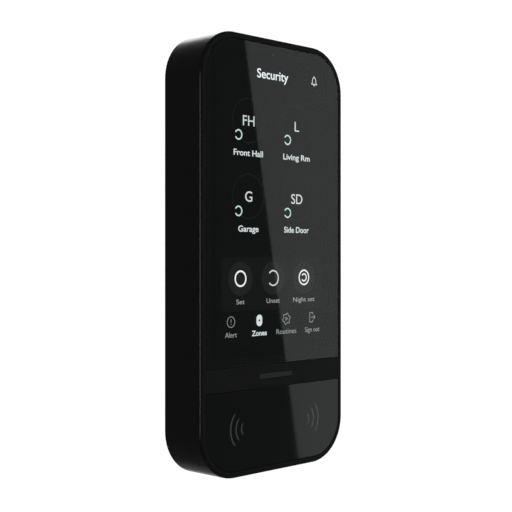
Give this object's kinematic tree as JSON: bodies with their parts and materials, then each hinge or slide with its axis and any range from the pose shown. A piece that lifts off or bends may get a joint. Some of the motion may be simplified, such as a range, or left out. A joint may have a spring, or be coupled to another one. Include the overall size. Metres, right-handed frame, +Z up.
{
  "type": "alarm keypad panel",
  "caption": "Slim wall-mounted touch-screen alarm keypad with contactless reader zone, on a lift-off wall bracket.",
  "frame": {"origin": "centre of the bracket's wall face", "axes": "+Z up, +Y into the wall, +X to the right of someone facing the panel, glass towards -Y"},
  "size_m": [0.0886, 0.0224, 0.186],
  "materials": {
    "case_plastic": "fine satin moulding",
    "bracket_plastic": "fine moulded grain",
    "cover_glass": "polished, smoked",
    "panel_gloss": "polished",
    "status_diffuser": "satin translucent",
    "adhesive_foam": "closed-cell foam tape",
    "seal_rubber": "matt",
    "lcd_face": "polarising film",
    "diffuser_film": "white film",
    "pressed_steel": "rolled",
    "screw_steel": "zinc plated",
    "spring_steel": "bright nickel",
    "aerial_brass": "bright",
    "flex_film": "polyimide film",
    "board_laminate": "solder resist",
    "chip_epoxy": "moulded epoxy",
    "capacitor_can": "drawn can",
    "led_resin": "clear resin",
    "ferrite": "sintered sheet",
    "cell_wrap": "shrink sleeve",
    "tray_plastic": "moulded",
    "connector_nylon": "moulded nylon",
    "terminal_green": "moulded nylon",
    "switch_plastic": "moulded",
    "button_plastic": "moulded",
    "label_film": "printed film"
  },
  "bodies": {
    "wall_bracket": {"wall_bracket": "bracket_plastic"},
    "keypad": {"backlight": "diffuser_film", "battery_cell_1": "cell_wrap", "battery_cell_2": "cell_wrap", "battery_cell_3": "cell_wrap", "battery_cell_4": "cell_wrap", "battery_connector": "connector_nylon", "battery_contacts_left": "spring_steel", "battery_contacts_right": "spring_steel", "battery_cover": "tray_plastic", "battery_cover_screws": "screw_steel", "battery_tray": "tray_plastic", "board_capacitors": "capacitor_can", "board_chips": "chip_epoxy", "board_screws": "screw_steel", "buzzer": "chip_epoxy", "cover_seal": "seal_rubber", "display_flex": "flex_film", "display_frame": "pressed_steel", "display_glass": "cover_glass", "ferrite_sheet": "ferrite", "flex_connectors": "connector_nylon", "front_housing": "case_plastic", "glass_tape": "adhesive_foam", "housing_screws": "screw_steel", "lcd_panel": "lcd_face", "light_guide": "status_diffuser", "light_sensor": "chip_epoxy", "main_board": "board_laminate", "panel_tape": "adhesive_foam", "power_inductors": "chip_epoxy", "power_switch": "switch_plastic", "processor": "chip_epoxy", "radio_antenna_left": "aerial_brass", "radio_antenna_right": "aerial_brass", "radio_shield": "pressed_steel", "reader_antenna": "flex_film", "reader_panel": "panel_gloss", "rear_cover": "case_plastic", "rear_label": "label_film", "status_board": "board_laminate", "status_leds": "led_resin", "status_lens": "status_diffuser", "tamper_spring": "spring_steel", "tamper_switch": "switch_plastic", "terminal_socket": "connector_nylon", "touch_flex": "flex_film"},
    "holding_screw": {"holding_screw": "screw_steel"},
    "power_button": {"power_button": "button_plastic"},
    "tamper_button": {"tamper_button": "button_plastic"},
    "terminal_plug": {"terminal_plug": "terminal_green", "terminal_screws": "screw_steel"}
  },
  "joints": [
    {"name": "lift_off", "type": "slide", "parent": "wall_bracket", "child": "keypad", "axis": [0, 0, 1], "range_m": [0, 0.0072]},
    {"name": "holding_screw_out", "type": "slide", "parent": "wall_bracket", "child": "holding_screw", "axis": [0, 0, -1], "range_m": [0, 0.006]},
    {"name": "power_press", "type": "slide", "parent": "keypad", "child": "power_button", "axis": [0, -1, 0], "range_m": [0, 0.0008], "stiffness_N_per_m": 1500, "springref_m": -0.0003},
    {"name": "tamper_press", "type": "slide", "parent": "keypad", "child": "tamper_button", "axis": [0, -1, 0], "range_m": [0, 0.0012], "stiffness_N_per_m": 300, "springref_m": -0.0008, "deforming": ["tamper_spring"]},
    {"name": "terminal_pull", "type": "slide", "parent": "keypad", "child": "terminal_plug", "axis": [0, 1, 0], "range_m": [0, 0.0032]}
  ]
}
